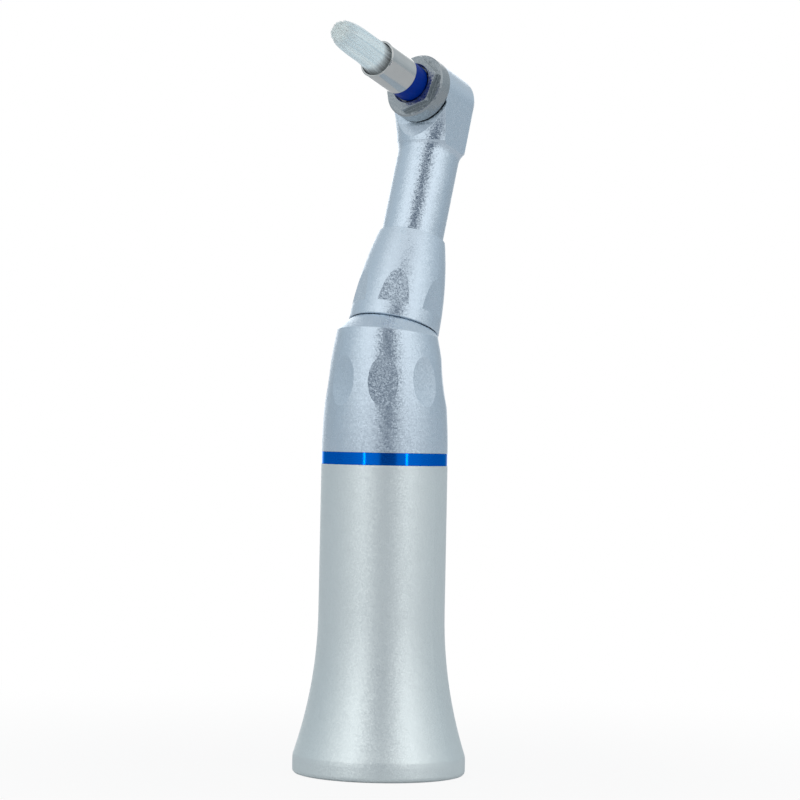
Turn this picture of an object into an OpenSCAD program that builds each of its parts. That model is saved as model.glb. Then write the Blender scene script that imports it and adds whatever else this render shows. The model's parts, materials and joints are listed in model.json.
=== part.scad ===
// Contra angle handpiece with a polishing brush.
// The handle axis is +Z and the origin is the centre of the rear opening.
// The neck leans back from the handle by bend_angle, and the brush axis crosses the neck axis
// at a right angle. Positions on the neck are measured along the neck axis from the bend point,
// and positions on the brush axis from the point where it crosses the neck axis.

/* [Handle] */
// Radius of the rear rim
rim_r = 10; // [9.8:0.1:10.4]
// Height of the rear rim, up to where the flare starts
rim_h = 2.2; // [1.8:0.1:3]
// Height at which the flare has run out into the straight grip
flare_top = 18.6; // [17.5:0.1:20]
// Radius of the straight grip
grip_r = 7.32; // [7.25:0.01:7.6]
// Length of the grip sleeve
grip_len = 35.7; // [35.2:0.1:36.2]
// Width of the colour ring
ring_w = 1.45; // [1.2:0.05:1.8]
// Radius of the arc that tapers the front shell
shell_arc_r = 66; // [60:1:72]
// Number of scallops round the taper
scallop_count = 8; // [6:1:10]
// Height of the middle of the scallops
scallop_z = 45.3; // [44:0.05:46.5]
// Depth of the scallops
scallop_depth = 0.25; // [0.1:0.01:0.3]

/* [Motor socket] */
// Radius of the wide mouth that takes the motor's collar
mouth_r = 8; // [7.8:0.05:8.2]
// Depth of the wide mouth
mouth_depth = 7; // [6:0.5:7.5]
// Radius of the long bore that takes the motor's nose
nose_r = 4.8; // [4.6:0.05:5]
// Height at which the bore for the motor's nose ends
nose_top = 27; // [25:0.5:27]

/* [Bend and collar] */
// Angle between the handle axis and the neck axis
bend_angle = 17; // [16:0.25:18]
// Height of the point where the two axes cross
bend_z = 47.46; // [47:0.1:48]
// Radius of the lock collar at its lower edge
collar_r = 5.31; // [5.2:0.01:5.5]
// Position of the collar's lower edge along the neck
collar_start = 4.4; // [4.3:0.05:4.6]
// Length of the collar
collar_len = 11.1; // [10.8:0.1:11.5]
// Radius of the arc that tapers the collar
collar_arc_r = 46.5; // [44:0.5:50]
// Number of flats round the collar
collar_flats = 6; // [4:1:8]

/* [Neck and head] */
// Radius of the neck
neck_r = 3.64; // [3.6:0.01:3.7]
// Position along the neck where it starts to run out into the head
neck_end = 25.6; // [25.5:0.05:25.8]
// Position along the neck where the brush axis crosses it
head_s = 32.7; // [32.5:0.1:33]
// Radius of the head's round top, seen along the brush axis
head_half_w = 3.85; // [3.8:0.05:3.9]
// Half of the head's width at the foot of its flat sides
head_flat_w = 3.46; // [3.4:0.02:3.6]
// Distance from the neck axis to the back of the head
head_back = 4.12; // [4.1:0.02:4.4]
// Position along the neck of the top of the head
head_top = 36.4; // [36.2:0.1:36.5]
// Radius of the arc that flares the front of the head towards the nut
front_arc_r = 15.8; // [15:0.1:17]

/* [Head nut] */
// Radius of the nut's round flange
flange_r = 3.9; // [3.86:0.02:3.94]
// Distance from the neck axis to the back of the flange
flange_back = 3.65; // [3.6:0.05:3.7]
// Distance from the neck axis to the front of the flange
flange_front = 5.36; // [5.3:0.02:5.5]
// Distance from the neck axis to the front of the hexagon
hex_front = 6.1; // [6:0.05:6.3]
// Radius of the hexagon's corners
hex_r = 3.48; // [3.3:0.02:3.6]
// Radius of the recess that the brush stands in
recess_r = 2.34; // [2.3:0.02:2.5]

/* [Brush] */
// Radius of the brush's plastic hub
hub_r = 2.2; // [2.1:0.05:2.25]
// Distance from the neck axis to the rear edge of the ferrule
ferrule_back = 8.24; // [8:0.05:8.5]
// Distance from the neck axis to the mouth of the ferrule
ferrule_front = 13.2; // [12.5:0.1:13.5]
// Distance from the neck axis to the tips of the bristles
bristle_tip = 21.2; // [20:0.1:22]
// Radius of the bundle of bristles
bristle_r = 1.8; // [1.6:0.02:1.9]

/* [Gears] */
// Teeth on each of the two bend gears
bend_teeth = 16; // [12:4:16]
// Teeth on each of the two head gears
head_teeth = 12; // [12:4:16]

/* [Hidden] */
$fn = 64;

seat_gap = 0.02;                      // between pieces that are pressed or clamped together
run_gap = 0.05;                       // between pieces that turn or slide past each other
cut = 1;                              // how far a cutting tool runs past the piece it cuts

// Inside the handle, along Z
sleeve_bore_r = 6.4;
ring_top = grip_len + ring_w;
tube_top = 28.8;
shell_bottom = 29;
bearing_bore_r = 5.02;
circlip_z = 32.2;
rear_bearing_z = 33.4;
front_bearing_z = 40;
bearing_stop_z = 44;
gear_room_r = 3.75;
scallop_turn = 33.5;
cutter_r = 26;

// Ball bearings: bore radius, outer radius, width, ball radius, race thickness, number of balls
drive_bearing = [1.5, 5, 4, 1, 0.95, 7];
neck_bearing = [1, 2.5, 2, 0.5, 0.35, 7];

// Spring-loaded dog at the tail of the drive shaft, along Z
tail_r = 1.1;
tail_end = 27.9;
dog_bottom = nose_top + 0.3;
dog_face = 28.4;
dog_top = 30;
spring_low = dog_top + run_gap;
spring_high = rear_bearing_z - run_gap;
spring_wire_r = 0.18;
spring_turns = 5;

// Spigot that carries the neck, along the neck axis
spigot_bore_r = 3.7;
spigot_r = 4.25;
spigot_top = 10.5;
collar_bore_r = 4.36;
neck_bottom = 3.4;
pin_r = 0.4;
slot_w = 2 * pin_r + 2 * run_gap;
ring_s = spigot_top + run_gap;
ring_t = 0.5;
thread_start = 6.4;
thread_pitch = 0.75;
thread_turns = 4;
thread_depth = 0.18;

// Inside the neck, along the neck axis
neck_bore_r = 2.52;
pinion_room_r = 2.35;
lower_bearing_s = 4.2;
upper_bearing_s = 27.5;
neck_bearing_w = neck_bearing[2];

// Bevel gears: pitch angle, cone distance and face width
bend_pitch_angle = (180 - bend_angle) / 2;
bend_cone = 3.4;
bend_face = 1.6;
head_pitch_angle = 45;
head_cone = 2.75;
head_face = 1.05;
gear_backlash = 0.08;
shaft_tip_r = 1.2;

// Outside of the head
front_shift = 0.3;                    // from the neck axis back to the axis of the head's front
front_r = 5.6;
flare_start = 24;
flare_end = 30.9;
flare_r = 3.9;
flat_start = 26.65;
dome_arc_r = 3.4;
seat_t = flange_back - seat_gap;
relief = 0.15;
front_slope = 12;                     // of the flat below the nut, against the nut's own face
washer_r = 3.25;
washer_depth = 0.26;

// Inside the head, along the brush axis
head_cavity_r = 2.45;
head_floor = -2.75;
nut_thread_r = 2.75;
nut_tail = 2.2;
bush_bore_r = 1.15;
journal_r = 1.1;
thrust_r = 1.4;
rotor_r = 0.8;
rear_bush_r = 1.3;
nut_bore_r = 1.95;
recess_floor = 5.3;
knob_r = 1.25;
socket_r = 1.3;
hub_back = 5.75;
hub_front = 9.6;
ferrule_r = hub_r + 0.09;
ferrule_bore_r = ferrule_r - 0.24;

// Colours
grip_grey = [0.72, 0.78, 0.8];
steel = [0.78, 0.83, 0.87];
bright_steel = [0.7, 0.72, 0.74];
nut_grey = [0.56, 0.6, 0.64];
nickel = [0.8, 0.81, 0.8];
bronze = [0.72, 0.52, 0.28];
ring_blue = [0, 0.3, 0.7];
hub_blue = [0.02, 0.15, 0.55];
seal_black = [0.08, 0.08, 0.09];
bristle_white = [0.88, 0.9, 0.9];

// ---- frames and profiles ----

// Moves into the neck frame: Z runs along the neck and -Y points to the brush
module neck_frame() {
    translate([0, 0, bend_z])
        rotate([-bend_angle, 0, 0])
            children();
}

// Moves into the head frame: Z runs out along the brush and Y runs up along the neck
module head_frame() {
    neck_frame()
        translate([0, 0, head_s])
            rotate([90, 0, 0])
                children();
}

// How far an arc of this radius has left its tangent at this distance from the tangent point
function arc_sag(radius, distance) = radius - sqrt(radius * radius - distance * distance);

// Radius of the arc that leaves its tangent by sag at this distance
function arc_radius(distance, sag) = (distance * distance + sag * sag) / (2 * sag);

// Profile points [radius, height] on an arc that is parallel to the axis at tangent_z.
// swell is 1 where the profile grows away from the tangent point and -1 where it shrinks.
function arc_profile(from_z, to_z, tangent_z, tangent_r, arc_r, swell, steps) = [
    for (i = [0:steps])
        let (z = from_z + (to_z - from_z) * i / steps)
        [tangent_r + swell * arc_sag(arc_r, abs(z - tangent_z)), z]
];

// Ring of rectangular section
module ring(inner_r, outer_r, from_z, to_z) {
    translate([0, 0, from_z])
        difference() {
            cylinder(r = outer_r, h = to_z - from_z);
            translate([0, 0, -cut])
                cylinder(r = inner_r, h = to_z - from_z + 2 * cut);
        }
}

// Rod along Z
module rod(radius, from_z, to_z) {
    translate([0, 0, from_z])
        cylinder(r = radius, h = to_z - from_z);
}

// Open ring, with a gap on the +X side so that it can be sprung into its groove
module open_ring(inner_r, outer_r, from_z, to_z, gap) {
    difference() {
        ring(inner_r, outer_r, from_z, to_z);
        translate([0, -gap / 2, from_z - cut])
            cube([outer_r + cut, gap, to_z - from_z + 2 * cut]);
    }
}

// ---- ball bearings ----

function bearing_pitch_r(size) = (size[0] + size[1]) / 2;

// Ring-shaped groove that the balls run in
module ball_track(size) {
    rotate_extrude()
        translate([bearing_pitch_r(size), size[2] / 2])
            circle(r = size[3] + run_gap, $fn = 32);
}

module bearing_outer_race(size) {
    difference() {
        ring(size[1] - size[4], size[1], 0, size[2]);
        ball_track(size);
    }
}

module bearing_inner_race(size) {
    difference() {
        ring(size[0] + seat_gap, size[0] + size[4], 0, size[2]);
        ball_track(size);
    }
}

module bearing_balls(size) {
    for (i = [0:size[5] - 1])
        rotate([0, 0, 360 * i / size[5]])
            translate([bearing_pitch_r(size), 0, size[2] / 2])
                sphere(r = size[3], $fn = 32);
}

module bearing_cage(size) {
    wall = size[3] / 4;
    height = 2.6 * size[3];
    difference() {
        ring(
            bearing_pitch_r(size) - wall,
            bearing_pitch_r(size) + wall,
            (size[2] - height) / 2,
            (size[2] + height) / 2
        );
        for (i = [0:size[5] - 1])
            rotate([0, 0, 360 * i / size[5]])
                translate([size[0], 0, size[2] / 2])
                    rotate([0, 90, 0])
                        cylinder(r = size[3] + run_gap, h = size[1], $fn = 32);
    }
}

// Puts a part of a drive bearing at both bearing places on the drive shaft
module at_drive_bearings() {
    for (z = [rear_bearing_z, front_bearing_z])
        translate([0, 0, z])
            children();
}

// Puts a part of a neck bearing at both bearing places on the neck shaft
module at_neck_bearings() {
    neck_frame()
        for (s = [lower_bearing_s, upper_bearing_s])
            translate([0, 0, s])
                children();
}

// ---- bevel gears ----

// Point on a cone about -Z: distance from the apex, angle from the axis, direction round it
function cone_point(distance, angle, turn) = distance * [
    sin(angle) * sin(turn),
    sin(angle) * cos(turn),
    -cos(angle)
];

// One straight tooth on +Y. All its long edges run to the apex of the pitch cone.
module bevel_tooth(inner, outer, root_angle, tip_angle, root_turn, tip_turn) {
    points = [
        for (distance = [inner, outer])
            each [
                cone_point(distance, root_angle, -root_turn),
                cone_point(distance, root_angle, root_turn),
                cone_point(distance, tip_angle, tip_turn),
                cone_point(distance, tip_angle, -tip_turn)
            ]
    ];
    polyhedron(points, [
        [3, 2, 1, 0], [4, 5, 6, 7], [1, 5, 4, 0], [2, 6, 5, 1], [3, 7, 6, 2], [0, 4, 7, 3]
    ]);
}

// Straight bevel gear with its apex at the origin and its body below it.
// rim_z and hub_z are the heights of the back of its rim and of its hub.
module bevel_gear(teeth, pitch_angle, cone, face, bore_r, rim_z, hub_radius, hub_z) {
    inner = cone - face;
    pitch_r = cone * sin(pitch_angle);
    tooth_module = 2 * pitch_r / teeth;
    addendum = 0.8 * tooth_module;
    dedendum = 0.98 * tooth_module;
    tip_angle = pitch_angle + atan(addendum / cone);
    root_angle = pitch_angle - atan(dedendum / cone);
    pressure_slope = tan(20);
    half_turn = 90 / teeth - gear_backlash / pitch_r * 90 / PI;
    turn_per_height = pressure_slope / pitch_r * 180 / PI;
    sink = 0.2;
    difference() {
        union() {
            rotate_extrude()
                polygon([
                    [0, -inner * cos(root_angle)],
                    [inner * sin(root_angle), -inner * cos(root_angle)],
                    [cone * sin(root_angle), -cone * cos(root_angle)],
                    [cone * sin(root_angle), rim_z],
                    [hub_radius, rim_z],
                    [hub_radius, hub_z],
                    [0, hub_z]
                ]);
            for (i = [0:teeth - 1])
                rotate([0, 0, 360 * i / teeth])
                    bevel_tooth(
                        inner,
                        cone,
                        root_angle - atan(sink / cone),
                        tip_angle,
                        half_turn + (dedendum + sink) * turn_per_height,
                        half_turn - addendum * turn_per_height
                    );
        }
        rod(bore_r, hub_z - cut, cut);
    }
}

module bend_gear(bore_r, rim_z, hub_radius, hub_z) {
    bevel_gear(bend_teeth, bend_pitch_angle, bend_cone, bend_face, bore_r, rim_z, hub_radius, hub_z);
}

module head_gear(bore_r, rim_z, hub_radius, hub_z) {
    bevel_gear(head_teeth, head_pitch_angle, head_cone, head_face, bore_r, rim_z, hub_radius, hub_z);
}

// ---- handle ----

// Flared sleeve that the hand holds, open at the rear for the motor
module grip_sleeve() {
    lip = 0.5;
    flare_run = flare_top - rim_h;
    flare_arc_r = arc_radius(flare_run, rim_r - grip_r - 0.04);
    color(grip_grey)
        difference() {
            rotate_extrude()
                polygon(concat(
                    [[0, 0], [rim_r - lip, 0]],
                    [for (a = [-60:30:0]) [rim_r - lip + lip * cos(a), lip + lip * sin(a)]],
                    [[rim_r, rim_h - lip]],
                    arc_profile(rim_h, flare_top, flare_top, grip_r, flare_arc_r, 1, 20),
                    [[grip_r, grip_len], [0, grip_len]]
                ));
            rod(sleeve_bore_r, -cut, grip_len + cut);
            rod(mouth_r, -cut, mouth_depth);
        }
}

// Coloured ring clamped between the grip sleeve and the front shell
module colour_ring() {
    color(ring_blue)
        ring(sleeve_bore_r, grip_r - 0.04, grip_len + seat_gap, ring_top - seat_gap);
}

// Outside of the front shell, about the handle axis
module shell_body() {
    shell_r = grip_r - 0.02;
    top_z = bend_z + 6;
    rotate_extrude()
        polygon(concat(
            [[0, shell_bottom], [sleeve_bore_r - seat_gap, shell_bottom]],
            [[sleeve_bore_r - seat_gap, ring_top]],
            arc_profile(ring_top, top_z, ring_top, shell_r, shell_arc_r, -1, 12),
            [[0, top_z]]
        ));
}

// Cone about the neck axis that bevels the top of the front shell
module shell_bevel() {
    bevel_top = collar_start - 0.15;
    bevel_h = 20;
    bevel_slope = 0.72;
    bevel_r = collar_r - 0.11;
    neck_frame()
        translate([0, 0, bevel_top - bevel_h])
            cylinder(r1 = bevel_r + bevel_slope * bevel_h, r2 = bevel_r, h = bevel_h);
}

// Threaded spigot that the neck slides into, about the neck axis
module shell_spigot() {
    seal_s = 4.9;
    seal_w = 0.4;
    seal_floor = 3.97;
    neck_frame()
        rotate_extrude()
            polygon(concat(
                [[0, 0], [spigot_r, 0], [spigot_r, seal_s], [seal_floor, seal_s]],
                [[seal_floor, seal_s + seal_w], [spigot_r, seal_s + seal_w]],
                thread_profile(spigot_r, -thread_depth),
                [[spigot_r, spigot_top], [0, spigot_top]]
            ));
}

// Profile of the thread's ridges: V grooves of this depth, cut inwards if depth is negative
function thread_profile(radius, depth) = [
    for (i = [0:2 * thread_turns])
        [radius + (i % 2) * depth, thread_start + i * thread_pitch / 2]
];

// Shallow scallops round the taper, each one the trace of a round cutter square to the surface
module shell_scallops() {
    scallop_r = grip_r - arc_sag(shell_arc_r, scallop_z - ring_top) - scallop_depth;
    slope = asin((scallop_z - ring_top) / shell_arc_r);
    for (i = [0:scallop_count - 1])
        rotate([0, 0, scallop_turn + 360 * i / scallop_count])
            translate([0, -scallop_r - cutter_r * cos(slope), scallop_z + cutter_r * sin(slope)])
                rotate([0, 90, 0])
                    cylinder(r = cutter_r, h = 8, center = true, $fn = 256);
}

// Tapered shell above the colour ring, bent spigot and bearing seats in one piece
module front_shell() {
    color(steel)
        difference() {
            union() {
                difference() {
                    intersection() {
                        shell_body();
                        shell_bevel();
                    }
                    shell_scallops();
                }
                shell_spigot();
            }
            rod(bearing_bore_r, shell_bottom - cut, bearing_stop_z);
            rod(bearing_bore_r + 0.3, circlip_z, circlip_z + 0.6);
            rod(gear_room_r, bearing_stop_z - cut, bend_z);
            translate([0, 0, bend_z])
                sphere(r = gear_room_r);
            neck_frame()
                rod(spigot_bore_r, 0, spigot_top + cut);
            neck_frame()
                pin_shape(pin_r + seat_gap);
        }
}

// Liner that the motor's nose slides into, with a groove for the motor's snap ring
module coupling_tube() {
    groove_z = 21;
    groove_w = 1;
    groove_r = 5.1;
    color(bright_steel)
        difference() {
            rod(sleeve_bore_r - seat_gap, mouth_depth, tube_top);
            rod(nose_r, mouth_depth - cut, tube_top + cut);
            rod(groove_r, groove_z, groove_z + groove_w);
            rod(groove_r, nose_top, tube_top + cut);
        }
}

// Dowel that runs through the back of the spigot into the neck's slot
module pin_shape(radius) {
    pin_s = 8.1;
    tip_y = 3.3;
    translate([0, tip_y, pin_s])
        rotate([-90, 0, 0])
            cylinder(r = radius, h = spigot_r - tip_y - seat_gap, $fn = 24);
}

// Pin that keeps the head from turning on the spigot
module index_pin() {
    color(bright_steel)
        neck_frame()
            pin_shape(pin_r);
}

// Rubber ring between the spigot and the collar
module collar_seal() {
    section_r = 0.17;
    color(seal_black)
        neck_frame()
            translate([0, 0, 5.1])
                rotate_extrude()
                    translate([4.15, 0])
                        circle(r = section_r, $fn = 24);
}

// ---- drive train in the handle ----

module drive_bearing_outer_races() {
    color(bright_steel)
        at_drive_bearings()
            bearing_outer_race(drive_bearing);
}

module drive_bearing_inner_races() {
    color(bright_steel)
        at_drive_bearings()
            bearing_inner_race(drive_bearing);
}

module drive_bearing_balls() {
    color(nickel)
        at_drive_bearings()
            bearing_balls(drive_bearing);
}

module drive_bearing_cages() {
    color(bronze)
        at_drive_bearings()
            bearing_cage(drive_bearing);
}

// Tube that keeps the two outer races apart
module drive_bearing_spacer() {
    outer_r = drive_bearing[1];
    rear_face = rear_bearing_z + drive_bearing[2] + seat_gap;
    color(bright_steel)
        ring(outer_r - drive_bearing[4], outer_r, rear_face, front_bearing_z - seat_gap);
}

// Conical spring washer that loads the rear bearing
module preload_washer() {
    low = circlip_z + 0.6;
    high = rear_bearing_z - seat_gap;
    thickness = 0.2;
    color(bright_steel)
        rotate_extrude()
            polygon([[3.9, low], [4.95, high - thickness], [4.95, high], [3.9, low + thickness]]);
}

module drive_bearing_circlip() {
    color(bright_steel)
        open_ring(4.1, bearing_bore_r + 0.28, circlip_z + seat_gap, circlip_z + 0.58, 2.4);
}

// Shaft with a flatted tail for the dog and a seat for the drive gear
module drive_shaft() {
    flat_x = 0.85;
    color(bright_steel)
        difference() {
            union() {
                rod(tail_r, tail_end, rear_bearing_z);
                rod(drive_bearing[0], rear_bearing_z, bearing_stop_z + seat_gap);
                rod(shaft_tip_r, bearing_stop_z, bend_z - 0.6);
            }
            for (side = [-1, 1])
                translate([side * (flat_x + 1) - 1, -2, tail_end - cut])
                    cube([2, 4, dog_top + 2 - tail_end + cut]);
            ring(0.8, 2, tail_end + 0.15, dog_face - run_gap);
        }
}

// Double-D bore of the dog, a little wider than the shaft's tail
module dog_bore() {
    intersection() {
        rod(tail_r + run_gap, dog_face - cut, dog_top + cut);
        translate([-0.9, -2, dog_face - cut])
            cube([1.8, 4, 4]);
    }
}

// Two-clawed dog that takes the drive from the motor and slides on the shaft's tail
module drive_dog() {
    claw_w = 1.1;
    color(bright_steel)
        union() {
            difference() {
                rod(2.4, dog_face, dog_top);
                dog_bore();
            }
            intersection() {
                ring(1.35, 2.4, dog_bottom, dog_face + 0.2);
                translate([-3, -claw_w / 2, dog_bottom - cut])
                    cube([6, claw_w, 4]);
            }
        }
}

// Snap ring that keeps the dog on the tail
module dog_clip() {
    color(bright_steel)
        open_ring(0.82, 1.25, tail_end + 0.17, dog_face - run_gap - seat_gap, 0.7);
}

// Point on the wire's surface: position along the coil from 0 to 1, and direction round the wire
function coil_point(along, around) =
    let (
        turn = 360 * spring_turns * along,
        radius = 1.6 + spring_wire_r * cos(around),
        low = spring_low + spring_wire_r,
        high = spring_high - spring_wire_r
    )
    [radius * cos(turn), radius * sin(turn), low + (high - low) * along + spring_wire_r * sin(around)];

// Coil spring between the dog and the rear bearing
module dog_spring() {
    steps = 16 * spring_turns;
    sides = 6;
    points = [
        for (i = [0:steps])
            for (j = [0:sides - 1])
                coil_point(i / steps, 360 * j / sides)
    ];
    walls = [
        for (i = [0:steps - 1])
            for (j = [0:sides - 1])
                let (k = (j + 1) % sides)
                [i * sides + j, (i + 1) * sides + j, (i + 1) * sides + k, i * sides + k]
    ];
    start_cap = [for (j = [0:sides - 1]) j];
    end_cap = [for (j = [0:sides - 1]) steps * sides + sides - 1 - j];
    color(bright_steel)
        polyhedron(points, concat(walls, [start_cap, end_cap]));
}

// Bevel gear on the drive shaft, with a tooth on the +Y side where the bend gears mesh
module drive_gear() {
    color(bright_steel)
        translate([0, 0, bend_z])
            bend_gear(shaft_tip_r + seat_gap, -1.9, 2.2, bearing_stop_z + 2 * seat_gap - bend_z);
}

// ---- lock collar ----

// Tapered collar that screws the neck onto the spigot
module lock_collar() {
    collar_end = collar_start + collar_len;
    ring_top_s = ring_s + ring_t + seat_gap;
    edge = 0.1;
    flat_distance = 4.95;
    flat_start = collar_start + 1.7;
    color(steel)
        neck_frame()
            difference() {
                rotate_extrude()
                    polygon(concat(
                        [[0, collar_start], [collar_r - edge, collar_start]],
                        arc_profile(
                            collar_start + edge, collar_end, collar_start,
                            collar_r, collar_arc_r, -1, 14
                        ),
                        [[0, collar_end]]
                    ));
                rotate_extrude()
                    polygon(concat(
                        [[0, collar_start - cut], [collar_bore_r, collar_start - cut]],
                        thread_profile(collar_bore_r, thread_depth),
                        [[collar_bore_r, ring_top_s], [0, ring_top_s]]
                    ));
                rod(neck_r + run_gap, collar_start, collar_end + cut);
                for (i = [0:collar_flats - 1])
                    rotate([0, 0, 30 + 360 * i / collar_flats])
                        translate([-5, -flat_distance - 5, flat_start])
                            cube([10, 5, 20]);
            }
}

// ---- neck and head ----

// Limits the head to its two slightly tapered flat sides and its round top
module head_sides() {
    reach = [head_flat_w, head_s - flat_start];
    taper = asin(head_half_w / norm(reach)) - atan(reach[0] / reach[1]);
    tangent = head_half_w * [cos(taper), -sin(taper)] + [0, head_s];
    rotate([90, 0, 0])
        translate([0, 0, -8])
            linear_extrude(16)
                union() {
                    translate([0, head_s])
                        circle(r = head_half_w);
                    polygon([
                        [-tangent[0], tangent[1]], [-head_flat_w, flat_start], [-5, flat_start - 0.6],
                        [-5, 0], [5, 0],
                        [5, flat_start - 0.6], [head_flat_w, flat_start], [tangent[0], tangent[1]]
                    ]);
                }
}

// Profile of the head's domed top, for a body of this radius
function dome_profile(radius) = arc_profile(
    head_top - dome_arc_r, head_top - seat_gap, head_top - dome_arc_r, radius, dome_arc_r, -1, 10
);

// Turned outline of the head about an axis behind the neck axis
module head_turning(axis_shift, radius, outline) {
    translate([0, axis_shift, 0])
        rotate_extrude()
            polygon(concat(
                [[0, neck_end]],
                outline,
                dome_profile(radius),
                [[0, head_top - seat_gap]]
            ));
}

// Cup round the foot of the head, where it runs out into the neck with a fillet
module head_foot() {
    fillet_r = 2.6;
    fillet_h = 2.4;
    rotate_extrude()
        polygon(concat(
            [[0, neck_end]],
            arc_profile(neck_end, neck_end + fillet_h, neck_end, neck_r, fillet_r, 1, 8),
            [[8, neck_end + fillet_h], [8, head_top], [0, head_top]]
        ));
}

// Neck and head from outside: a round back, flat sides and a front that flares towards the nut
module head_body() {
    intersection() {
        union() {
            rod(neck_r, neck_bottom, head_s);
            intersection() {
                head_foot();
                union() {
                    intersection() {
                        head_turning(0, head_back, [[head_back, neck_end]]);
                        translate([-8, -0.5, 0])
                            cube([16, 16, 60]);
                    }
                    intersection() {
                        head_turning(
                            front_shift,
                            front_r,
                            arc_profile(neck_end, flare_end, flare_start, flare_r, front_arc_r, 1, 10)
                        );
                        translate([-8, -16, 0])
                            cube([16, 16, 60]);
                    }
                }
            }
        }
        head_sides();
    }
}

// Cuts the face for the nut: the nut rests on its upper part and stands clear of the rest,
// and below the nut the face slopes out until it leaves the flare
module head_front_cut() {
    rest_s = head_s - 1.4;
    slope_s = head_s - flange_r - 0.1;
    seat = -seat_t;
    front = seat - 6;
    slope_drop = (seat + relief - front) / tan(front_slope);
    rotate([90, 0, 90])
        translate([0, 0, -10])
            linear_extrude(20)
                polygon([
                    [front, 60], [seat, 60], [seat, rest_s], [seat + relief, rest_s],
                    [seat + relief, slope_s], [front, slope_s - slope_drop]
                ]);
    translate([0, 0, head_s])
        rotate([90, 0, 0])
            rod(washer_r + run_gap, seat_t - washer_depth, seat_t + cut);
}

// Neck tube and head in one piece
module head_housing() {
    color(steel)
        difference() {
            neck_frame()
                difference() {
                    head_body();
                    head_front_cut();
                    rod(neck_bore_r, neck_bottom - cut, upper_bearing_s + neck_bearing_w);
                    rod(pinion_room_r, neck_bottom, head_s);
                    rod(neck_bore_r + 0.2, lower_bearing_s - 0.6, lower_bearing_s - 0.12);
                    ring(3.34, 5, ring_s - 0.01, ring_s + ring_t + 0.02);
                    translate([-slot_w / 2, 3.2, neck_bottom - cut])
                        cube([slot_w, 1, 5.2 + cut]);
                }
            head_frame() {
                rod(head_cavity_r, head_floor, seat_t);
                rod(nut_thread_r, nut_tail - 0.1, seat_t + cut);
                rod(rear_bush_r + seat_gap, head_floor - 0.85, 0);
            }
        }
}

// Open ring in the neck's groove, which the collar pulls down onto the spigot
module retaining_ring() {
    color(bright_steel)
        neck_frame()
            open_ring(3.36, 4.2, ring_s + 0.01, ring_s + ring_t, 2);
}

module neck_bearing_outer_races() {
    color(bright_steel)
        at_neck_bearings()
            bearing_outer_race(neck_bearing);
}

module neck_bearing_inner_races() {
    color(bright_steel)
        at_neck_bearings()
            bearing_inner_race(neck_bearing);
}

module neck_bearing_balls() {
    color(nickel)
        at_neck_bearings()
            bearing_balls(neck_bearing);
}

module neck_bearing_cages() {
    color(bronze)
        at_neck_bearings()
            bearing_cage(neck_bearing);
}

// Long tube that keeps the two outer races of the neck apart
module neck_spacer_tube() {
    low = lower_bearing_s + neck_bearing_w + seat_gap;
    color(bright_steel)
        neck_frame()
            ring(2.15, neck_bearing[1], low, upper_bearing_s - seat_gap);
}

module neck_bearing_circlip() {
    color(bright_steel)
        neck_frame()
            open_ring(1.9, neck_bore_r + 0.18, lower_bearing_s - 0.58, lower_bearing_s - 0.14, 1.4);
}

// Shaft through the neck, with a bevel gear at each end
module neck_shaft() {
    color(bright_steel)
        neck_frame()
            rod(neck_bearing[0], 0.7, head_s - 1.25);
}

// Lower gear on the neck shaft, with a gap where the drive gear has its tooth
module bend_pinion() {
    color(bright_steel)
        neck_frame()
            rotate([0, 0, 180 / bend_teeth])
                mirror([0, 0, 1])
                    bend_gear(neck_bearing[0] + seat_gap, -1.9, 1.3, seat_gap - lower_bearing_s);
}

// Upper gear on the neck shaft, with a tooth on the side where the head gears mesh
module head_pinion() {
    hub_bottom = upper_bearing_s + neck_bearing_w + seat_gap - head_s;
    color(bright_steel)
        neck_frame()
            translate([0, 0, head_s])
                head_gear(neck_bearing[0] + seat_gap, -2.65, 1.3, hub_bottom);
}

// ---- head nut, rotor and brush ----

// Flanged hexagon nut that closes the head and holds the front bush
module head_nut() {
    hex_turn = 20;
    flange_bevel = 0.14;
    lip = 0.15;
    corner_cut = 0.12;
    corner_slope = 0.62;
    hex_h = hex_front - flange_front;
    color(nut_grey)
        head_frame()
            difference() {
                union() {
                    rod(nut_thread_r - seat_gap, nut_tail, flange_back + seat_gap);
                    rod(flange_r, flange_back, flange_front - flange_bevel);
                    translate([0, 0, flange_front - flange_bevel])
                        cylinder(r1 = flange_r, r2 = flange_r - flange_bevel, h = flange_bevel);
                    intersection() {
                        rotate([0, 0, hex_turn])
                            translate([0, 0, flange_front - seat_gap])
                                cylinder(r = hex_r, h = hex_h + seat_gap, $fn = 6);
                        translate([0, 0, flange_front - cut])
                            cylinder(
                                r1 = hex_r - corner_cut + corner_slope * (hex_h + cut),
                                r2 = hex_r - corner_cut,
                                h = hex_h + cut
                            );
                    }
                }
                rod(nut_bore_r, nut_tail - cut, hex_front + cut);
                rod(recess_r, recess_floor, hex_front + cut);
                translate([0, 0, hex_front - lip])
                    cylinder(r1 = recess_r, r2 = recess_r + lip + cut, h = lip + cut);
            }
}

// Sealing washer between the nut's flange and the head
module nut_washer() {
    color(seal_black)
        head_frame()
            ring(nut_thread_r + seat_gap, washer_r, seat_t - washer_depth + seat_gap, seat_t);
}

module front_bush() {
    color(bronze)
        head_frame()
            ring(bush_bore_r, nut_bore_r - seat_gap, nut_tail + run_gap, recess_floor - 0.1);
}

module rear_bush() {
    color(bronze)
        head_frame()
            ring(rotor_r, rear_bush_r, head_floor - 0.8, head_floor - seat_gap);
}

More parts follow.
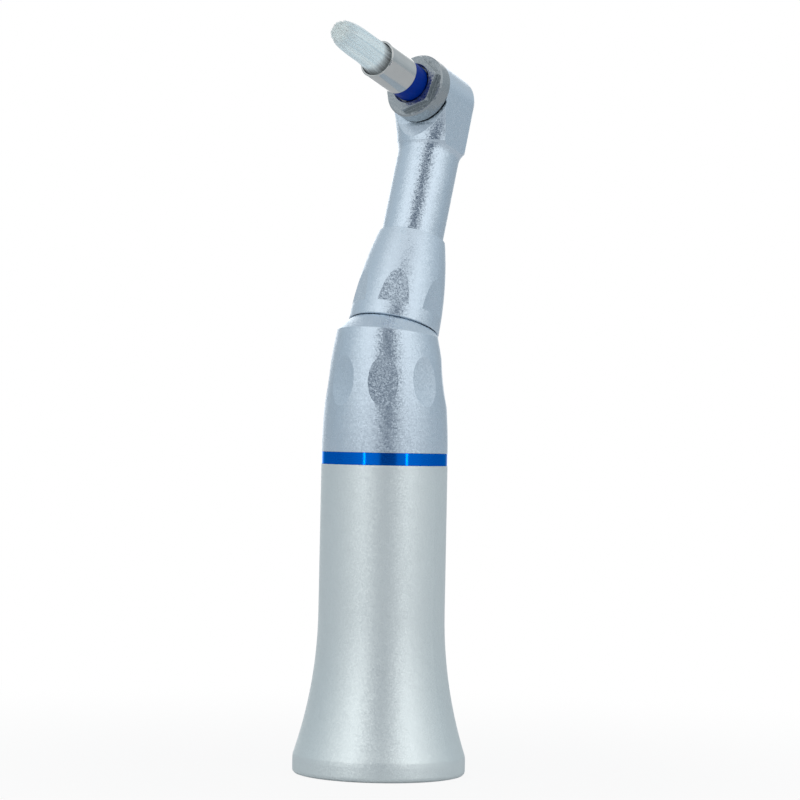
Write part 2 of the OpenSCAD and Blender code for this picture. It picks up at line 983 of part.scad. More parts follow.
// Spindle that carries the rotor gear and ends in the knob that the brush snaps onto
module rotor_spindle() {
    color(bright_steel)
        head_frame()
            rotate_extrude()
                polygon([
                    [0, head_floor - 0.75], [rotor_r - run_gap, head_floor - 0.75],
                    [rotor_r - run_gap, head_floor + 0.1], [rotor_r, head_floor + 0.1],
                    [rotor_r, nut_tail - 0.45], [thrust_r, nut_tail - 0.45], [thrust_r, nut_tail],
                    [journal_r, nut_tail], [journal_r, 5.6], [0.85, 5.75], [0.85, 6.3],
                    [knob_r, 6.7], [knob_r, 7.4], [0.8, 8], [0, 8]
                ]);
}

// Gear on the rotor, with a gap where the head pinion has its tooth
module rotor_gear() {
    color(bright_steel)
        head_frame()
            rotate([0, 0, 180 / head_teeth])
                head_gear(rotor_r + seat_gap, head_floor + 0.1, 1.2, head_floor + 0.08);
}

// Plastic hub with a socket that snaps over the rotor's knob
module brush_hub() {
    color(hub_blue)
        head_frame()
            rotate_extrude()
                polygon([
                    [socket_r, hub_back], [hub_r - 0.15, hub_back], [hub_r, hub_back + 0.15],
                    [hub_r, ferrule_back - seat_gap],
                    [ferrule_bore_r - seat_gap, ferrule_back - seat_gap],
                    [ferrule_bore_r - seat_gap, hub_front], [0, hub_front], [0, 8.3], [socket_r, 8.3]
                ]);
}

// Thin metal cup that clamps the bristles onto the hub
module brush_ferrule() {
    edge = 0.1;
    color(nickel)
        head_frame()
            rotate_extrude()
                polygon([
                    [ferrule_bore_r, ferrule_back], [ferrule_r - edge, ferrule_back],
                    [ferrule_r, ferrule_back + edge], [ferrule_r, ferrule_front - edge],
                    [ferrule_r - edge, ferrule_front], [ferrule_bore_r, ferrule_front]
                ]);
}

// Bundle of bristles as one solid with a rounded end
module brush_bristles() {
    root_r = ferrule_bore_r - 0.1;
    dome = 1.2;
    color(bristle_white)
        head_frame()
            rotate_extrude()
                polygon(concat(
                    [[0, hub_front + 0.05], [root_r, hub_front + 0.05], [root_r, ferrule_front - 0.5]],
                    [[bristle_r, ferrule_front + 1.5]],
                    [for (a = [0:15:90])
                        [bristle_r - dome + dome * cos(a), bristle_tip - dome + dome * sin(a)]],
                    [[0, bristle_tip]]
                ));
}

grip_sleeve();
colour_ring();
front_shell();
coupling_tube();
index_pin();
collar_seal();
drive_bearing_outer_races();
drive_bearing_spacer();
preload_washer();
drive_bearing_circlip();
drive_shaft();
drive_bearing_inner_races();
drive_gear();
dog_clip();
dog_spring();
drive_dog();
drive_bearing_cages();
drive_bearing_balls();
lock_collar();
head_housing();
retaining_ring();
neck_bearing_outer_races();
neck_spacer_tube();
neck_bearing_circlip();
neck_shaft();
neck_bearing_inner_races();
bend_pinion();
head_pinion();
neck_bearing_cages();
neck_bearing_balls();
head_nut();
nut_washer();
front_bush();
rear_bush();
rotor_spindle();
rotor_gear();
brush_hub();
brush_ferrule();
brush_bristles();
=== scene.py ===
"""Contra angle handpiece with a polishing brush: finishes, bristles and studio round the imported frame."""

import json
import math
import random

import bpy
from mathutils import Matrix, Vector


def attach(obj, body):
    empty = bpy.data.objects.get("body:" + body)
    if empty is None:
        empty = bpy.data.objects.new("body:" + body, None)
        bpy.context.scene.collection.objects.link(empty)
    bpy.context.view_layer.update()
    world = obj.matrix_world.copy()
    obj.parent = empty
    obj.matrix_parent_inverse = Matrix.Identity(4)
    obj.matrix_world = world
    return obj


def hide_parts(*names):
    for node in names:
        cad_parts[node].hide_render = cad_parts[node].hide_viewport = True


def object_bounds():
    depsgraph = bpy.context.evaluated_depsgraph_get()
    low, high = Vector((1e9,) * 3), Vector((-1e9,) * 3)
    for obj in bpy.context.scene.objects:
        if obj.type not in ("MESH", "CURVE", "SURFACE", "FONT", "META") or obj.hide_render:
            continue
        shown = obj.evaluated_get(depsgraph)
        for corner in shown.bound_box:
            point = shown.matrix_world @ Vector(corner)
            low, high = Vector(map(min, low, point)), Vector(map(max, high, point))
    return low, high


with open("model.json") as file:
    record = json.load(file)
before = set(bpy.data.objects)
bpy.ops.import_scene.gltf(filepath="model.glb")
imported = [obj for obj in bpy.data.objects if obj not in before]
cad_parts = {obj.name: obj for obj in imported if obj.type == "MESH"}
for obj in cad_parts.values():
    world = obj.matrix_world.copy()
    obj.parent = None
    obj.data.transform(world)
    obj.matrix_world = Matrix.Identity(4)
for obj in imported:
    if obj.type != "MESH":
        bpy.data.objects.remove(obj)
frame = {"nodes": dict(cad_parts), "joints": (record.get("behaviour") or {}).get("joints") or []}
cad_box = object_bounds()

MM = 0.001
SEED = 11
GOLDEN_ANGLE = math.pi * (3 - math.sqrt(5))

# ---- the object's own axes, from the frame ----

JOINTS = {joint["name"]: joint for joint in frame["joints"]}
BRUSH_AXIS = Vector(JOINTS["brush_pull_off"]["axis"]).normalized()
HEAD_CENTRE = Vector(JOINTS["rotor_spin"]["pos_m"])


def along_brush(node_name):
    """Lowest and highest position of a CAD node along the brush axis, from the head's centre."""
    vertices = frame["nodes"][node_name].data.vertices
    places = [(vertex.co - HEAD_CENTRE).dot(BRUSH_AXIS) for vertex in vertices]
    return min(places), max(places)


def radius_about_brush(node_name, low, high):
    """Largest distance from the brush axis of a CAD node's corners between two positions on it."""
    widest = 0
    for vertex in frame["nodes"][node_name].data.vertices:
        offset = vertex.co - HEAD_CENTRE
        place = offset.dot(BRUSH_AXIS)
        if low <= place <= high:
            widest = max(widest, (offset - place * BRUSH_AXIS).length)
    return widest


# ---- node tree helpers ----


def add_node(tree, kind, inputs=None, **settings):
    """Adds a node, sets its properties, and sets or links its inputs."""
    made = tree.nodes.new(kind)
    for name, value in settings.items():
        setattr(made, name, value)
    for key, value in (inputs or {}).items():
        if isinstance(value, bpy.types.NodeSocket):
            tree.links.new(value, made.inputs[key])
        else:
            made.inputs[key].default_value = value
    return made


def math_node(tree, operation, first, second=0.0):
    """Output of a math node on two values or sockets."""
    made = add_node(tree, "ShaderNodeMath", {0: first, 1: second}, operation=operation)
    return made.outputs[0]


def vector_math(tree, operation, first, second, output="Value"):
    """Output of a vector math node on two vectors or sockets."""
    made = add_node(tree, "ShaderNodeVectorMath", {0: first, 1: second}, operation=operation)
    return made.outputs[output]


def mix_colours(tree, share, first, second):
    """Colour that goes from first to second as share goes from 0 to 1."""
    made = add_node(tree, "ShaderNodeMix", {"Factor": share, "A": first, "B": second}, data_type="RGBA")
    return made.outputs["Result"]


def ramp(tree, value, stops):
    """Smooth colour ramp with (position, grey value or colour) stops."""
    made = add_node(tree, "ShaderNodeValToRGB", {"Fac": value})
    made.color_ramp.interpolation = "EASE"
    elements = made.color_ramp.elements
    while len(elements) < len(stops):
        elements.new(0.5)
    for element, (position, colour) in zip(elements, stops):
        element.position = position
        shade = colour if isinstance(colour, tuple) else (colour,) * 3
        element.color = (*shade, 1)
    return made.outputs["Color"]


def object_coordinates(tree):
    """Place on the object at rest, in metres."""
    return add_node(tree, "ShaderNodeTexCoord").outputs["Object"]


def noise(tree, vector, size, detail=2.0, roughness=0.55):
    """Noise from 0 to 1 whose lumps are about size metres across."""
    made = add_node(
        tree,
        "ShaderNodeTexNoise",
        {"Vector": vector, "Scale": 1 / size, "Detail": detail, "Roughness": roughness},
    )
    return made.outputs["Fac"]


def around(tree, value, middle, spread):
    """Maps a noise value, which mostly lies between a quarter and three quarters, to middle +- spread."""
    centred = math_node(tree, "SUBTRACT", value, 0.5)
    scaled = math_node(tree, "MULTIPLY", centred, 4 * spread)
    return math_node(tree, "ADD", scaled, middle)


def rounded_normal(tree, radius):
    """Surface normal with the sharp edges rounded to this radius."""
    return add_node(tree, "ShaderNodeBevel", {"Radius": radius}, samples=6).outputs["Normal"]


def edge_mask(tree, rounded):
    """0 on open surfaces, rising to 1 on edges."""
    steepness = 12.0
    true_normal = add_node(tree, "ShaderNodeNewGeometry").outputs["Normal"]
    agreement = vector_math(tree, "DOT_PRODUCT", rounded, true_normal)
    turned = math_node(tree, "SUBTRACT", 1.0, agreement)
    boosted = math_node(tree, "MULTIPLY", turned, steepness)
    return math_node(tree, "MINIMUM", boosted, 1.0)


def bump(tree, height, distance, normal):
    """The normal tilted by bumps of this height map, which are distance metres high."""
    return add_node(
        tree, "ShaderNodeBump", {"Height": height, "Distance": distance, "Normal": normal}
    ).outputs["Normal"]


def surface(name):
    """New material and its tree; finish_surface() joins the shader to it."""
    material = bpy.data.materials.new(name)
    material.use_nodes = True
    material.node_tree.nodes.clear()
    return material, material.node_tree


def finish_surface(tree, inputs):
    """Adds a Principled shader with these inputs and joins it to the output."""
    shader = add_node(tree, "ShaderNodeBsdfPrincipled", inputs)
    add_node(tree, "ShaderNodeOutputMaterial", {"Surface": shader.outputs[0]})


# ---- finishes ----


def brightened(tint, gain):
    """The tint made brighter or darker, up to white."""
    return tuple(min(1.0, gain * share) for share in tint)


def grainy_normal(tree, place, normal, grain_size, tilt):
    """Tilts the normal at random from one blasted grain to the next."""
    cells = add_node(tree, "ShaderNodeTexVoronoi", {"Vector": place, "Scale": 1 / grain_size})
    centred = vector_math(tree, "SUBTRACT", cells.outputs["Color"], (0.5, 0.5, 0.5), output="Vector")
    leaning = vector_math(tree, "MULTIPLY", centred, (tilt, tilt, tilt), output="Vector")
    summed = vector_math(tree, "ADD", normal, leaning, output="Vector")
    return vector_math(tree, "NORMALIZE", summed, (0, 0, 0), output="Vector")


def blasted_metal(name, tint, roughness, grain_tilt, edge_radius=0.06 * MM, edge_gain=1.06):
    """Metal with a fine bead-blasted grain, faint blotches and edges painted a little brighter: partly
    rubbed wear, partly a painted edge highlight.
    """
    grain_size = 0.12 * MM
    blotch_size = 1.6 * MM
    pit_height = 0.1 * grain_tilt * grain_size
    material, tree = surface(name)
    place = object_coordinates(tree)
    rounded = rounded_normal(tree, edge_radius)
    edges = edge_mask(tree, rounded)
    blotches = noise(tree, place, blotch_size, detail=3.0)
    pits = noise(tree, place, 2 * grain_size)
    pitted = bump(tree, pits, pit_height, rounded)
    duller = brightened(tint, 0.94)
    # The brighter edge colour is partly rubbed wear and partly a painted highlight along the edges.
    worn_and_highlit_edge = brightened(tint, edge_gain)
    body = mix_colours(tree, around(tree, blotches, 0.6, 0.2), (*duller, 1), (*tint, 1))
    finish_surface(tree, {
        "Base Color": mix_colours(tree, math_node(tree, "MULTIPLY", edges, 0.6), body, (*worn_and_highlit_edge, 1)),
        "Metallic": 1.0,
        "Roughness": around(tree, pits, roughness, 0.04),
        "Normal": grainy_normal(tree, place, pitted, grain_size, grain_tilt),
    })
    return material


def turned_metal(name, tint, roughness):
    """Bright metal with fine lines left by turning."""
    squash = (1, 1, 12)  # turns round lumps of noise into rings about the upright axis
    line_height = 0.002 * MM
    material, tree = surface(name)
    place = object_coordinates(tree)
    stretched = vector_math(tree, "MULTIPLY", place, squash, output="Vector")
    lines = noise(tree, stretched, 0.6 * MM, detail=4.0, roughness=0.7)
    smudges = noise(tree, place, 1.1 * MM)
    rounded = rounded_normal(tree, 0.06 * MM)
    darker = brightened(tint, 0.86)
    finish_surface(tree, {
        "Base Color": mix_colours(tree, smudges, (*darker, 1), (*tint, 1)),
        "Metallic": 1.0,
        "Roughness": around(tree, lines, roughness, 0.06),
        "Normal": bump(tree, lines, line_height, rounded),
    })
    return material


def anodised(name, tint, deep_tint):
    """Glossy coloured aluminium with very fine lines left by turning."""
    squash = (1, 1, 14)
    line_height = 0.0015 * MM
    material, tree = surface(name)
    place = object_coordinates(tree)
    stretched = vector_math(tree, "MULTIPLY", place, squash, output="Vector")
    lines = noise(tree, stretched, 0.5 * MM, detail=3.0)
    finish_surface(tree, {
        "Base Color": mix_colours(tree, lines, (*deep_tint, 1), (*tint, 1)),
        "Metallic": 1.0,
        "Roughness": around(tree, lines, 0.09, 0.03),
        "Specular Tint": (0.4, 0.7, 1.0, 1),
        "Normal": bump(tree, lines, line_height, rounded_normal(tree, 0.05 * MM)),
    })
    return material


def plastic(name, tint, deep_tint, roughness):
    """Smooth coloured piece with a faint moulded unevenness."""
    material, tree = surface(name)
    place = object_coordinates(tree)
    uneven = noise(tree, place, 0.5 * MM, detail=3.0)
    finish_surface(tree, {
        "Base Color": mix_colours(tree, uneven, (*deep_tint, 1), (*tint, 1)),
        "Roughness": around(tree, uneven, roughness, 0.03),
        "Specular IOR Level": 0.1,
        "Normal": bump(tree, uneven, 0.004 * MM, rounded_normal(tree, 0.08 * MM)),
    })
    return material


def rubber(name):
    """Dull black rubber with faint specks."""
    material, tree = surface(name)
    place = object_coordinates(tree)
    specks = noise(tree, place, 0.12 * MM)
    finish_surface(tree, {
        "Base Color": mix_colours(tree, specks, (0.012, 0.012, 0.014, 1), (0.03, 0.03, 0.034, 1)),
        "Roughness": around(tree, specks, 0.6, 0.08),
        "Normal": bump(tree, specks, 0.004 * MM, rounded_normal(tree, 0.05 * MM)),
    })
    return material


def nylon(name):
    """Translucent bristle: pale and bluish along its side, a little greener and duller at the tip, darker
    at the root with painted shade where the ferrule shades it, and with a faint painted glow all over.
    """
    material, tree = surface(name)
    share = add_node(tree, "ShaderNodeAttribute", attribute_name="along").outputs["Fac"]
    shade = add_node(tree, "ShaderNodeAttribute", attribute_name="shade").outputs["Fac"]
    # Painted shade: the root colour is darker where the bristles sit in the ferrule and just past its
    # mouth.
    root = mix_colours(tree, shade, (0.28, 0.30, 0.30, 1), (0.57, 0.62, 0.64, 1))
    side = mix_colours(tree, shade, (0.80, 0.87, 0.90, 1), (0.95, 0.98, 0.98, 1))
    few_dull = ramp(tree, shade, [(0.0, 0.0), (0.08, 0.6), (0.2, 1.0)])
    tip = mix_colours(tree, few_dull, (0.66, 0.70, 0.69, 1), (0.93, 0.97, 0.97, 1))
    past_mouth = ramp(tree, share, [(0.30, 0.0), (0.42, 1.0)])
    at_tip = ramp(tree, share, [(0.90, 0.0), (0.985, 1.0)])
    colour = mix_colours(tree, at_tip, mix_colours(tree, past_mouth, root, side), tip)
    gloss_and_painted_glow = add_node(tree, "ShaderNodeBsdfPrincipled", {
        "Base Color": colour,
        "Roughness": 0.42,
        # Painted glow: the bristle emits light in its own colour, standing in for light scattered through
        # the tuft.
        "Emission Color": colour,
        "Emission Strength": 0.21,
    })
    glow = add_node(tree, "ShaderNodeBsdfTranslucent", {"Color": colour})
    both = add_node(tree, "ShaderNodeMixShader", {0: 0.5, 1: gloss_and_painted_glow.outputs[0], 2: glow.outputs[0]})
    add_node(tree, "ShaderNodeOutputMaterial", {"Surface": both.outputs[0]})
    return material


FINISHES = {
    "grip": blasted_metal("grip_finish", (0.92, 0.99, 0.99), 0.47, 0.14, edge_radius=0.25 * MM),
    "shell": blasted_metal("shell_finish", (0.78, 0.895, 1.0), 0.30, 0.19),
    "neck": blasted_metal("neck_finish", (0.78, 0.895, 1.0), 0.25, 0.18),
    # The nut's edge_gain of 1.6 paints bright edge lines: partly rubbed wear, partly a painted edge
    # highlight.
    "nut": blasted_metal("nut_finish", (0.46, 0.50, 0.52), 0.29, 0.26, edge_gain=1.6),
    "steel": turned_metal("turned_steel", (0.62, 0.65, 0.68), 0.24),
    "ground": turned_metal("ground_steel", (0.74, 0.76, 0.78), 0.12),
    "nickel": turned_metal("nickel_plate", (0.80, 0.81, 0.79), 0.14),
    "bronze": turned_metal("bronze", (0.62, 0.40, 0.18), 0.30),
    "ring": anodised("ring_blue", (0.0, 0.17, 0.82), (0.0, 0.15, 0.74)),
    "hub": plastic("hub_blue", (0.0, 0.045, 0.42), (0.0, 0.025, 0.28), 0.40),
    "rubber": rubber("seal_rubber"),
    "nylon": nylon("bristle_nylon"),
}

NODE_FINISHES = {
    "grip_sleeve": "grip",
    "colour_ring": "ring",
    "front_shell": "shell",
    "lock_collar": "shell",
    "head_housing": "neck",
    "head_nut": "nut",
    "brush_hub": "hub",
    "brush_ferrule": "nickel",
    "collar_seal": "rubber",
    "nut_washer": "rubber",
    "front_bush": "bronze",
    "rear_bush": "bronze",
    "drive_bearing_cages": "bronze",
    "neck_bearing_cages": "bronze",
    "drive_bearing_balls": "ground",
    "neck_bearing_balls": "ground",
    "neck_bearing_inner_races": "ground",
    "neck_bearing_outer_races": "ground",
    "drive_bearing_inner_races": "ground",
    "drive_bearing_outer_races": "ground",
}


def paint_cad_nodes():
    """Gives every CAD node its finish; a piece not named above is plain turned steel."""
    for name, node in frame["nodes"].items():
        material = FINISHES[NODE_FINISHES.get(name, "steel")]
        node.data.materials.clear()
        node.data.materials.append(material)


def paint_pale_rim_reflection():
    """Paints a pale glow on the nut's round rim for reflected rays, so the blasted face below shows a
    painted pale reflection of the rim, all but the rim's back edge.
    """
    rim_skin = 0.2 * MM
    back_edge = 0.3 * MM
    tree = FINISHES["nut"].node_tree
    output = next(node for node in tree.nodes if node.type == "OUTPUT_MATERIAL")
    metal = output.inputs["Surface"].links[0].from_socket
    low, high = along_brush("head_nut")
    rim_radius = radius_about_brush("head_nut", low, high)
    rim_back = along_brush("nut_washer")[1]
    arm = vector_math(tree, "SUBTRACT", object_coordinates(tree), HEAD_CENTRE, output="Vector")
    across = vector_math(tree, "CROSS_PRODUCT", arm, BRUSH_AXIS, output="Vector")
    radius = vector_math(tree, "LENGTH", across, (0, 0, 0))
    at_rim = math_node(tree, "GREATER_THAN", radius, rim_radius - rim_skin)
    place = vector_math(tree, "DOT_PRODUCT", arm, BRUSH_AXIS)
    past_back = math_node(tree, "GREATER_THAN", place, rim_back + back_edge)
    rim_front = math_node(tree, "MULTIPLY", at_rim, past_back)
    is_reflection = add_node(tree, "ShaderNodeLightPath").outputs["Is Glossy Ray"]
    # Painted reflection: glossy rays that reach the rim's front see this flat pale emission instead of the
    # metal.
    pale = add_node(tree, "ShaderNodeEmission", {"Color": (0.40, 0.43, 0.46, 1)})
    both = add_node(tree, "ShaderNodeMixShader", {
        0: math_node(tree, "MULTIPLY", rim_front, is_reflection),
        1: metal,
        2: pale.outputs[0],
    })
    tree.links.new(both.outputs[0], output.inputs["Surface"])


# ---- bristles ----


def brush_matrix():
    """Matrix whose Z runs out along the brush axis from the head's centre."""
    side = Vector((1, 0, 0))
    up = BRUSH_AXIS.cross(side)
    turn = Matrix((side, up, BRUSH_AXIS)).transposed().to_4x4()
    return Matrix.Translation(HEAD_CENTRE) @ turn


def clump_centres(count, spread, rng):
    """Points inside a disc of radius spread that the bristle tips lean towards."""
    centres = []
    for index in range(count):
        angle = index * GOLDEN_ANGLE + rng.uniform(-0.3, 0.3)
        reach = spread * math.sqrt((index + 0.5) / count)
        centres.append(Vector((math.cos(angle), math.sin(angle))) * reach)
    return centres


def tube(path, radius, sides):
    """Corners and faces of a closed tube along path, with a rounded tip."""
    corners, faces = [], []
    for index, point in enumerate(path):
        width = radius if index < len(path) - 1 else 0.5 * radius
        for side in range(sides):
            angle = 2 * math.pi * side / sides
            corners.append((point.x + width * math.cos(angle), point.y + width * math.sin(angle), point.z))
    for index in range(len(path) - 1):
        for side in range(sides):
            low, high = index * sides, (index + 1) * sides
            following = (side + 1) % sides
            faces.append((low + side, low + following, high + following, high + side))
    faces.append(tuple((len(path) - 1) * sides + side for side in range(sides)))
    faces.append(tuple(reversed(range(sides))))
    return corners, faces


def bristle_path(root, lean, reach, heights, rng):
    """Points along one bristle: straight in the ferrule, then drawn in and bent to its clump."""
    start, mouth, tip = heights
    steps = 9
    drawn_in = 0.08
    pointed = 0.08
    wander = Vector((rng.gauss(0, 1), rng.gauss(0, 1))) * 0.05 * MM
    shift = Vector((0, 0.19 * MM))
    path = []
    for index in range(steps + 1):
        height = start + (tip - start) * index / steps
        bend = max(0.0, (height - mouth) / (tip - mouth))
        squeeze = 1 - drawn_in * min(1.0, 4 * bend) - pointed * bend ** 5
        place = root * squeeze + wander * bend + shift * min(1.0, 5 * bend)
        place += (lean - root) * reach * bend ** 3
        path.append(Vector((place.x, place.y, height)))
    return path


def bristle_mesh(corners, faces, attributes):
    """Smooth nylon mesh with one number per corner for each named attribute."""
    mesh = bpy.data.meshes.new("bristle_bundle")
    mesh.from_pydata(corners, [], faces)
    for name, values in attributes.items():
        attribute = mesh.attributes.new(name, "FLOAT", "POINT")
        attribute.data.foreach_set("value", values)
    mesh.transform(brush_matrix())
    mesh.shade_smooth()
    mesh.materials.append(FINISHES["nylon"])
    return mesh


def build_bristles():
    """Bundle of separate nylon bristles in the ferrule, which stands for the CAD bundle."""
    rng = random.Random(SEED)
    count, sides, radius = 1500, 5, 0.046 * MM
    clumps = 17
    clearance = 0.02 * MM
    start, tip = along_brush("brush_bristles")
    mouth = along_brush("brush_ferrule")[1]
    spread = radius_about_brush("brush_bristles", start, mouth) - radius - clearance
    centres = clump_centres(clumps, 0.8 * spread, rng)
    corners, faces, along, shades = [], [], [], []
    for index in range(count):
        rim = math.sqrt((index + 0.5) / count)
        angle = index * GOLDEN_ANGLE
        root = Vector((math.cos(angle), math.sin(angle))) * rim * spread
        centre = min(centres, key=lambda place: (place - root).length)
        # The outer bristles are shorter, which rounds the tip of the tuft
        shortening = 1.2 * rim ** 5 + abs(rng.gauss(0, 0.16)) + 0.2 * rng.random()
        heights = (start, mouth, tip - radius - shortening * MM)
        path = bristle_path(root, centre, rng.uniform(0.05, 0.4), heights, rng)
        new_corners, new_faces = tube(path, radius * rng.uniform(0.85, 1.1), sides)
        offset = len(corners)
        corners.extend(new_corners)
        faces.extend(tuple(offset + corner for corner in face) for face in new_faces)
        shade = rng.random()
        along.extend((corner[2] - start) / (tip - start) for corner in new_corners)
        shades.extend(shade for _ in new_corners)
    mesh = bristle_mesh(corners, faces, {"along": along, "shade": shades})
    bristles = bpy.data.objects.new("bristle_bundle", mesh)
    bpy.context.scene.collection.objects.link(bristles)
    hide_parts("brush_bristles")
    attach(bristles, "brush")


# ---- studio ----

DARK_ZONE_TURN = math.radians(6.5)
DARK_ZONE_LEAN = math.radians(10)
STRIP_LIGHT_TURNS = {"strip_left": -37, "strip_right": 41}
STRIP_LIT_PIECES = ("grip_sleeve", "colour_ring", "brush_ferrule")
CAMERA_AZIMUTH = math.radians(36.53)
CAMERA_ELEVATION = math.radians(-1.088)
CAMERA_ROLL = math.radians(1.129)
CAMERA_DISTANCE = 0.33795
CAMERA_LENS = 131.02
CAMERA_SHIFT = (0.01728, -0.02988)
AIM = Vector((0, 0, 0.046))
TOWARDS_CAMERA = Vector((math.sin(CAMERA_AZIMUTH), -math.cos(CAMERA_AZIMUTH), 0))
CAMERA_RIGHT = Vector((math.cos(CAMERA_AZIMUTH), math.sin(CAMERA_AZIMUTH), 0))


def build_camera():
    """Camera that looks at the handpiece from the front and right, level with its middle."""
    back = TOWARDS_CAMERA * math.cos(CAMERA_ELEVATION) + Vector((0, 0, math.sin(CAMERA_ELEVATION)))
    above = back.cross(CAMERA_RIGHT)
    right = CAMERA_RIGHT * math.cos(CAMERA_ROLL) + above * math.sin(CAMERA_ROLL)
    up = above * math.cos(CAMERA_ROLL) - CAMERA_RIGHT * math.sin(CAMERA_ROLL)
    data = bpy.data.cameras.new("camera")
    data.sensor_fit = "HORIZONTAL"
    data.sensor_width = 36
    data.lens = CAMERA_LENS
    data.shift_x, data.shift_y = CAMERA_SHIFT
    data.clip_start = 0.01
    camera = bpy.data.objects.new("camera", data)
    turn = Matrix((right, up, back)).transposed().to_4x4()
    camera.matrix_world = Matrix.Translation(AIM + back * CAMERA_DISTANCE) @ turn
    bpy.context.scene.collection.objects.link(camera)
    bpy.context.scene.camera = camera


def turn_from_dark_zone(tree, direction, height):
    """0 at the dark zone behind the camera and 1 at the wall across from it."""
    forward = vector_math(tree, "DOT_PRODUCT", direction, TOWARDS_CAMERA)
    sideways = vector_math(tree, "DOT_PRODUCT", direction, CAMERA_RIGHT)
    angle = math_node(tree, "ARCTAN2", sideways, forward)
    lean = math_node(tree, "MULTIPLY", height, DARK_ZONE_LEAN)
    centre = math_node(tree, "SUBTRACT", DARK_ZONE_TURN, lean)
    off_centre = math_node(tree, "SUBTRACT", angle, centre)
    return math_node(tree, "DIVIDE", math_node(tree, "ABSOLUTE", off_centre), math.pi)


def room_colours(tree, direction):
    """Pale room: dark behind the camera, bright beside it, dull at the sides, white at the back."""
    glow_strength = 0.24
    height = vector_math(tree, "DOT_PRODUCT", direction, (0, 0, 1))
    share = turn_from_dark_zone(tree, direction, height)
    walls = ramp(tree, share, [
        (0.0, (0.06, 0.08, 0.12)),
        (0.06, (0.09, 0.12, 0.16)),
        (0.105, (0.62, 0.64, 0.66)),
        (0.18, (0.73, 0.75, 0.77)),
        (0.28, (0.67, 0.695, 0.715)),
        (0.42, (0.50, 0.535, 0.56)),
        (0.55, (0.37, 0.42, 0.46)),
        (0.82, (0.37, 0.41, 0.44)),
        (1.0, (1.7, 1.7, 1.7)),
    ])
    upper = ramp(tree, height, [(0.05, 0.0), (0.4, 1.0)])
    beside = ramp(tree, share, [
        (0.12, 0.0),
        (0.2, 1.0),
        (0.36, 1.0),
        (0.5, 0.5),
        (0.8, 0.5),
        (1.0, 0.0),
    ])
    glow = math_node(tree, "MULTIPLY", math_node(tree, "MULTIPLY", upper, beside), glow_strength)
    lit_walls = vector_math(tree, "ADD", walls, glow, output="Vector")
    ceiling = ramp(tree, share, [
        (0.0, (0.74, 0.76, 0.78)),
        (0.35, (0.74, 0.76, 0.78)),
        (0.6, (0.55, 0.58, 0.60)),
        (1.0, (0.40, 0.44, 0.49)),
    ])
    overhead = ramp(tree, height, [(0.58, 0.0), (0.74, 1.0)])
    return mix_colours(tree, overhead, lit_walls, ceiling)


def build_world():
    """The room for reflections, and plain white where the camera looks."""
    world = bpy.data.worlds.new("studio")
    bpy.context.scene.world = world
    world.use_nodes = True
    tree = world.node_tree
    tree.nodes.clear()
    direction = add_node(tree, "ShaderNodeTexCoord").outputs["Generated"]
    felt = add_node(tree, "ShaderNodeBackground", {"Color": room_colours(tree, direction)})
    seen = add_node(tree, "ShaderNodeBackground", {"Color": (1, 1, 1, 1)})
    is_camera = add_node(tree, "ShaderNodeLightPath").outputs["Is Camera Ray"]
    both = add_node(
        tree, "ShaderNodeMixShader", {0: is_camera, 1: felt.outputs[0], 2: seen.outputs[0]}
    )
    add_node(tree, "ShaderNodeOutputWorld", {"Surface": both.outputs[0]})


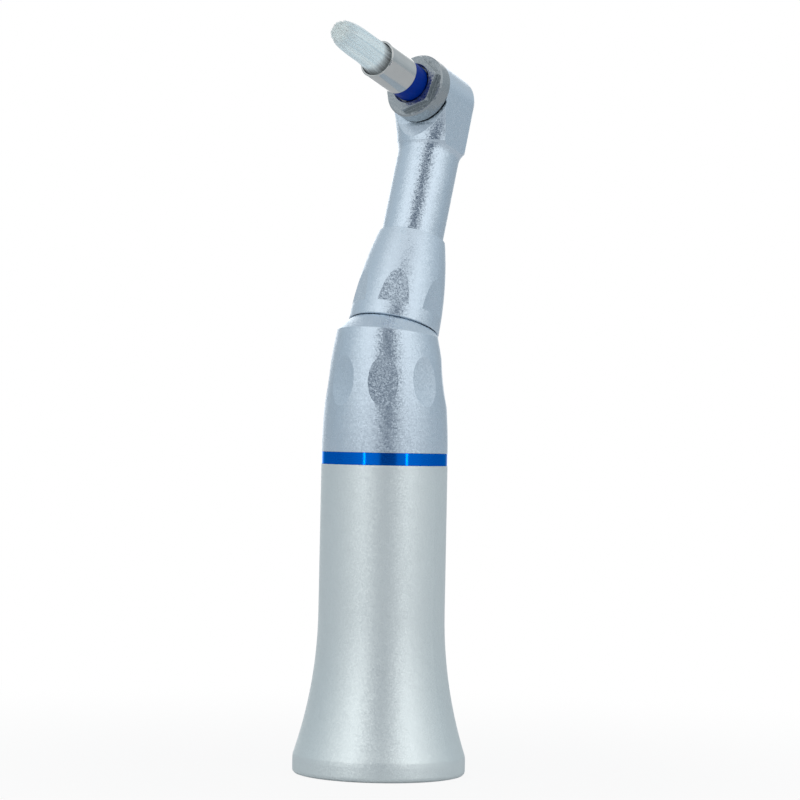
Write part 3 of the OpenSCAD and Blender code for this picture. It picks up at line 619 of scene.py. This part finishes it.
def add_strip_light(name, turn_degrees, receivers):
    """Tall narrow light, turned from the camera's direction, that lights only the receivers."""
    height, distance, width, length, brightness = 0.08, 0.5, 0.02, 0.7, 4.5
    turn = math.radians(turn_degrees)
    direction = TOWARDS_CAMERA * math.cos(turn) + CAMERA_RIGHT * math.sin(turn)
    place = direction * distance + Vector((0, 0, height))
    data = bpy.data.lights.new(name, "AREA")
    data.shape = "RECTANGLE"
    data.size = width
    data.size_y = length
    data.energy = brightness * math.pi * width * length
    light = bpy.data.objects.new(name, data)
    facing = (place - AIM).to_track_quat("Z", "Y").to_matrix().to_4x4()
    light.matrix_world = Matrix.Translation(place) @ facing
    light.visible_camera = False
    light.light_linking.receiver_collection = receivers
    bpy.context.scene.collection.objects.link(light)


def strip_lit_pieces():
    """Collection of the pieces that show the strip lights."""
    pieces = bpy.data.collections.new("strip_lit_pieces")
    for name in STRIP_LIT_PIECES:
        pieces.objects.link(frame["nodes"][name])
    return pieces


def build_floor():
    """Pale floor just under the rear rim, seen almost white from above and not at all from below."""
    half, white_from = 1.5, 0.12
    level = cad_box[0][2] - 0.02 * MM
    mesh = bpy.data.meshes.new("floor")
    mesh.from_pydata(
        [(-half, -half, level), (half, -half, level), (half, half, level), (-half, half, level)],
        [],
        [(0, 1, 2, 3)],
    )
    material, tree = surface("floor_white")
    matt = add_node(tree, "ShaderNodeBsdfDiffuse", {"Color": (0.72, 0.72, 0.73, 1)})
    bright = add_node(tree, "ShaderNodeEmission", {"Color": (1, 1, 1, 1)})
    distance = vector_math(tree, "LENGTH", object_coordinates(tree), (0, 0, 0))
    cleared = ramp(tree, math_node(tree, "DIVIDE", distance, white_from), [(0.1, 0.9), (1.0, 1.0)])
    is_camera = add_node(tree, "ShaderNodeLightPath").outputs["Is Camera Ray"]
    whitened = math_node(tree, "MULTIPLY", is_camera, cleared)
    both = add_node(tree, "ShaderNodeMixShader", {0: whitened, 1: matt.outputs[0], 2: bright.outputs[0]})
    from_below = add_node(tree, "ShaderNodeNewGeometry").outputs["Backfacing"]
    clear = add_node(tree, "ShaderNodeBsdfTransparent")
    shown = add_node(
        tree, "ShaderNodeMixShader", {0: from_below, 1: both.outputs[0], 2: clear.outputs[0]}
    )
    add_node(tree, "ShaderNodeOutputMaterial", {"Surface": shown.outputs[0]})
    mesh.materials.append(material)
    floor = bpy.data.objects.new("floor", mesh)
    bpy.context.scene.collection.objects.link(floor)


paint_cad_nodes()
paint_pale_rim_reflection()
build_bristles()
build_camera()
build_world()
strip_receivers = strip_lit_pieces()
for strip_name, strip_turn in STRIP_LIGHT_TURNS.items():
    add_strip_light(strip_name, strip_turn, strip_receivers)
build_floor()
bpy.context.scene.view_settings.view_transform = "Standard"
